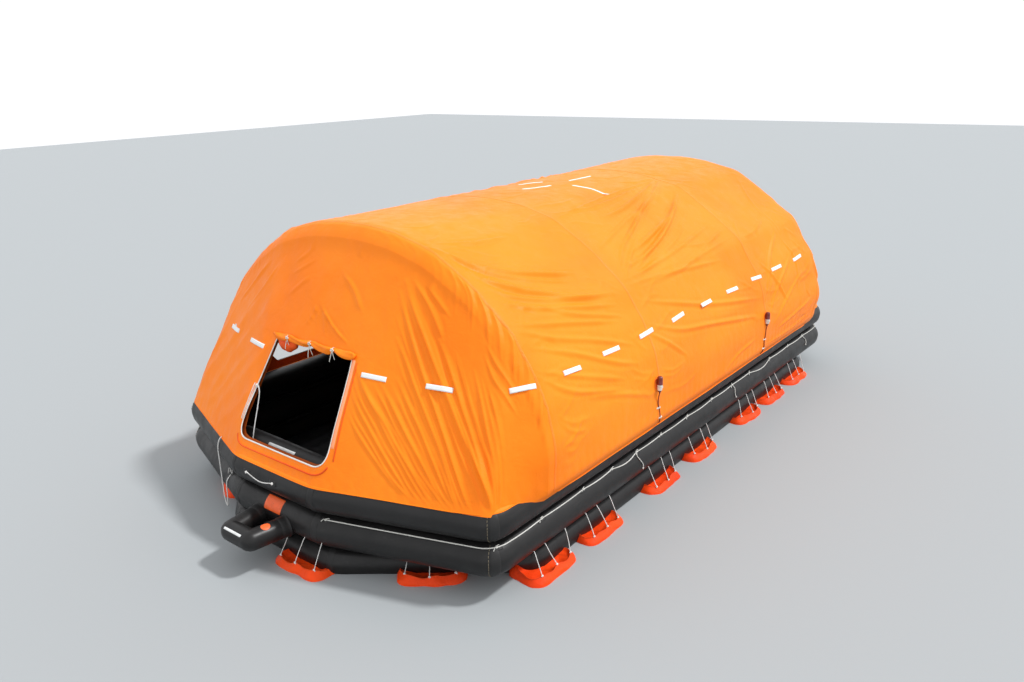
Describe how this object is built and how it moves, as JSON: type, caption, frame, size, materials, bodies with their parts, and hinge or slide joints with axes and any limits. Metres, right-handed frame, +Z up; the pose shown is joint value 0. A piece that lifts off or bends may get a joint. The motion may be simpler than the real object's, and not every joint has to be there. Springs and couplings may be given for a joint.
{
  "type": "large canopied inflatable liferaft",
  "caption": "Long inflatable liferaft: stacked black buoyancy tubes with an inflated floor, a tall orange canopy on arch tubes, doors, boarding ramps and water pockets.",
  "frame": {"origin": "middle of the raft's plan, level with the flat bottoms of the water pockets that it stands on; the waterline is 0.375 m above it", "axes": "+X along the raft from the near end (the end with the door, as pictured) to the far end, +Y across it to the side with the side door, +Z up"},
  "size_m": [10.676, 5.27, 3.6416],
  "materials": {
    "tube_rubber": "black rubberised fabric, satin, with glued seams",
    "floor_fabric": "dark rubberised fabric, matte",
    "canopy_fabric": "orange coated woven fabric, satin, wrinkled",
    "pocket_fabric": "red-orange coated fabric, soft folds",
    "webbing": "woven off-white webbing",
    "rope": "braided white rope",
    "lamp_plastic": "dark red moulded plastic",
    "cylinder_paint": "grey painted steel gas cylinder"
  },
  "bodies": {
    "root": {"upper_tube": "tube_rubber", "middle_tube": "tube_rubber", "lower_tube": "tube_rubber", "floor": "floor_fabric", "thwart_1": "tube_rubber", "thwart_2": "tube_rubber", "canopy_near_end": "canopy_fabric", "canopy_bay_1": "canopy_fabric", "canopy_bay_2": "canopy_fabric", "canopy_bay_3": "canopy_fabric", "canopy_far_end": "canopy_fabric", "arch_1": "tube_rubber", "arch_2": "tube_rubber", "arch_3": "tube_rubber", "arch_4": "tube_rubber", "ramp_near": "tube_rubber", "ramp_near_floor": "floor_fabric", "ramp_far": "tube_rubber", "ramp_far_floor": "floor_fabric", "pocket_right_1": "pocket_fabric", "pocket_right_2": "pocket_fabric", "pocket_right_3": "pocket_fabric", "pocket_right_4": "pocket_fabric", "pocket_right_5": "pocket_fabric", "pocket_right_6": "pocket_fabric", "pocket_right_7": "pocket_fabric", "pocket_left_1": "pocket_fabric", "pocket_left_2": "pocket_fabric", "pocket_left_3": "pocket_fabric", "pocket_left_4": "pocket_fabric", "pocket_left_5": "pocket_fabric", "pocket_left_6": "pocket_fabric", "pocket_left_7": "pocket_fabric", "pocket_near_1": "pocket_fabric", "pocket_near_2": "pocket_fabric", "pocket_near_3": "pocket_fabric", "pocket_far_1": "pocket_fabric", "pocket_far_2": "pocket_fabric", "pocket_far_3": "pocket_fabric", "door_roll_near": "canopy_fabric", "door_roll_far": "canopy_fabric", "door_roll_side": "canopy_fabric", "boarding_ladder": "webbing", "lamp_right_1": "lamp_plastic", "lamp_right_2": "lamp_plastic", "lamp_left_1": "lamp_plastic", "lamp_left_2": "lamp_plastic", "gas_cylinder_1": "cylinder_paint", "gas_cylinder_2": "cylinder_paint", "lifeline_right": "rope", "lifeline_left": "rope", "grab_line": "rope", "door_line": "rope", "corner_line": "rope"}
  },
  "joints": []
}
